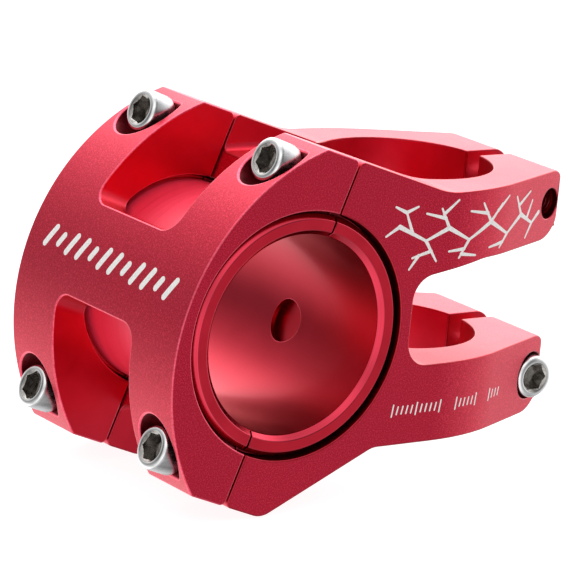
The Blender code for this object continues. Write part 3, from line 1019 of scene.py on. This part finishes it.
def socket_painted_shade_steel():
    """The screws' sockets: the same steel, duller, and darker as painted shade for the socket's
    hollow.
    """
    look = Finish("socket_painted_shade_steel", Metallic=1.0)
    stain = look.noise(900, 3.0, 0.6)
    # painted shade: darker steel inside the socket
    look.tint(stain, (0.26, 0.24, 0.23), (0.5, 0.48, 0.45))
    look.dull(stain, 0.14, 0.26)
    look.relief(stain, 0.1, 0.00002)
    return look.material


def laser_white():
    """Laser mark: the dye burnt off down to dull pale metal."""
    look = Finish("laser_white", Metallic=0.1, IOR=1.45)
    frost = look.noise(3600, 2.0, 0.6)
    look.tint(frost, (0.8, 0.77, 0.75), (0.95, 0.93, 0.92))
    look.dull(frost, 0.55, 0.75)
    look.relief(frost, 0.3, 0.00003)
    return look.material


# ---------------------------------------------------------------- studio
CAMERA_AZIMUTH = 142.57
CAMERA_ELEVATION = 14.32
CAMERA_ROLL = 5.66
CAMERA_DISTANCE = 599.0
CAMERA_TARGET = Vector((20.77, 0, 20.16))
CAMERA_LENS = 235.44
CAMERA_SENSOR = 36
CAMERA_NEAR = 0.01       # metres

SURROUND = 0.12          # even part of the surround
PANEL_REACH = 60         # a panel's middle to its edge, seen from the stem
# Towards each panel from the stem, and how bright its middle is
PANELS = [((-1, -1, 1), 1.9), ((-1, 0, 0), 1.0), ((-1, 0, 1), 0.2), ((-1, 1, 1), 0.15),
          ((0.2, 0.1, 1), 0.7), ((0, -1, 1), 0.8), ((0, -1, -1), 1.1), ((0, 1, -1), 0.45),
          ((1, -1, -1), 0.28), ((1, 0, -1), 0.2), ((1, 1, -1), 0.6), ((1, 1, 0.6), 0.7)]

LIGHT_POSITION = Vector((-60, -120, 520))
LIGHT_TARGET = Vector((20, 0, 20))
LIGHT_SIZE = (0.5, 0.35)     # metres
LIGHT_POWER = 0.3            # watts

FLOOR_HALF = 3.0         # metres
FLOOR_DROP = 0.0004      # metres below the stem
FLOOR_GREY = (0.3, 0.3, 0.3, 1)
WHITE = (1, 1, 1, 1)


def to_camera():
    """Unit vector from the stem towards the camera."""
    azimuth = math.radians(CAMERA_AZIMUTH)
    elevation = math.radians(CAMERA_ELEVATION)
    return Vector((math.sin(azimuth) * math.cos(elevation),
                   -math.cos(azimuth) * math.cos(elevation), math.sin(elevation)))


def make_camera():
    """Camera that looks at its target from in front, from the rider's left and from above."""
    lens = bpy.data.cameras.new("camera")
    lens.lens = CAMERA_LENS
    lens.sensor_width = CAMERA_SENSOR
    lens.clip_start = CAMERA_NEAR
    camera = bpy.data.objects.new("camera", lens)
    bpy.context.collection.objects.link(camera)
    back = to_camera()
    level = back.cross(Vector((0, 0, 1))).normalized() * -1
    upright = back.cross(level)
    roll = math.radians(CAMERA_ROLL)
    right = level * math.cos(roll) + upright * math.sin(roll)
    up = upright * math.cos(roll) - level * math.sin(roll)
    camera.matrix_world = Matrix.LocRotScale(
        (CAMERA_TARGET + back * CAMERA_DISTANCE) * 0.001,
        Matrix((right, up, back)).transposed(), None)
    bpy.context.scene.camera = camera


def panel(nodes, links, direction, strength):
    """Soft bright patch of the surround that fades out from its middle to its edge."""
    source = nodes.new("ShaderNodeTexCoord")
    facing = nodes.new("ShaderNodeVectorMath")
    facing.operation = "DOT_PRODUCT"
    facing.inputs[1].default_value = Vector(direction).normalized()
    links.new(source.outputs["Generated"], facing.inputs[0])
    fade = nodes.new("ShaderNodeMapRange")
    fade.interpolation_type = "SMOOTHSTEP"
    fade.inputs["From Min"].default_value = math.cos(math.radians(PANEL_REACH))
    fade.inputs["From Max"].default_value = 1.0
    fade.inputs["To Min"].default_value = 0
    fade.inputs["To Max"].default_value = strength
    links.new(facing.outputs["Value"], fade.inputs["Value"])
    return fade.outputs["Result"]


def surround_strength(nodes, links):
    """Sum of the even surround and all the panels."""
    even = nodes.new("ShaderNodeValue")
    even.outputs["Value"].default_value = SURROUND
    total = even.outputs["Value"]
    for direction, strength in PANELS:
        add = nodes.new("ShaderNodeMath")
        add.operation = "ADD"
        links.new(total, add.inputs[0])
        links.new(panel(nodes, links, direction, strength), add.inputs[1])
        total = add.outputs["Value"]
    return total


def make_world():
    """Grey surround with soft panels, the brightest opposite the camera, which sees pale grey."""
    world = bpy.data.worlds.new("studio")
    bpy.context.scene.world = world
    world.use_nodes = True
    nodes, links = world.node_tree.nodes, world.node_tree.links
    surround = nodes["Background"]
    surround.inputs["Color"].default_value = WHITE
    links.new(surround_strength(nodes, links), surround.inputs["Strength"])
    seen = nodes.new("ShaderNodeBackground")
    seen.inputs["Strength"].default_value = 1.0
    ray = nodes.new("ShaderNodeLightPath")
    choose = nodes.new("ShaderNodeMixShader")
    links.new(ray.outputs["Is Camera Ray"], choose.inputs["Fac"])
    links.new(surround.outputs["Background"], choose.inputs[1])
    links.new(seen.outputs["Background"], choose.inputs[2])
    links.new(choose.outputs["Shader"], nodes["World Output"].inputs["Surface"])


def make_light():
    """Weak overhead light that the camera doesn't see."""
    light = bpy.data.lights.new("overhead", "AREA")
    light.shape = "RECTANGLE"
    light.size, light.size_y = LIGHT_SIZE
    light.energy = LIGHT_POWER
    lamp = bpy.data.objects.new("overhead", light)
    bpy.context.collection.objects.link(lamp)
    lamp.location = LIGHT_POSITION * 0.001
    aim = (LIGHT_TARGET - LIGHT_POSITION).normalized()
    lamp.rotation_euler = aim.to_track_quat("-Z", "Y").to_euler()
    lamp.visible_camera = False


def make_floor():
    """Pale floor just under the stem, bright enough to stay white round it."""
    level = CAD_BOX[0][2] - FLOOR_DROP
    shape = bmesh.new()
    corners = [(-1, -1), (1, -1), (1, 1), (-1, 1)]
    shape.faces.new([shape.verts.new((x * FLOOR_HALF, y * FLOOR_HALF, level)) for x, y in corners])
    look = Finish("floor_white", Roughness=0.9, Base_Color=FLOOR_GREY,
                  Emission_Color=WHITE, Emission_Strength=0.9)
    floor = bpy.data.objects.new("floor", finish_mesh("floor", shape, look.material))
    bpy.context.collection.objects.link(floor)
    floor.visible_glossy = False
    floor.visible_diffuse = False
    floor.visible_shadow = False


def build():
    """Every piece, then the studio."""
    blasted, machined, painted_shade = blasted_red(), machined_red(), painted_shade_red()
    # edge copies: the body's darker as painted shade, the faceplate's lighter as a painted highlight
    body_edge_painted_shade = edge_red("body_edge_painted_shade", (0.42, 0.006, 0.022), (0.5, 0.012, 0.035))
    face_edge_painted_highlight = edge_red("face_edge_painted_highlight", (0.8, 0.05, 0.1), (0.9, 0.12, 0.19))
    make_body(blasted, machined, painted_shade, body_edge_painted_shade)
    make_faceplate(blasted, machined, painted_shade, face_edge_painted_highlight)
    shim_looks = turned_red(), shim_bevel_red(), painted_shade, shim_outside_painted_light_red(), machined
    make_shim("shim_front", "front_shim", 1, *shim_looks)
    make_shim("shim_rear", "rear_shim", -1, *shim_looks)
    make_screws((polished_steel(), head_side_painted_shade_steel(), socket_painted_shade_steel()))
    mark = laser_white()
    make_marks("face_marks", "face", face_strokes(), on_face, mark)
    make_marks("side_marks", "stem", side_strokes(), on_side, mark)
    make_marks("size_marks", "stem", size_strokes(), on_side, mark)
    make_floor()
    make_world()
    make_light()
    make_camera()
    bpy.context.scene.view_settings.view_transform = "Standard"


build()
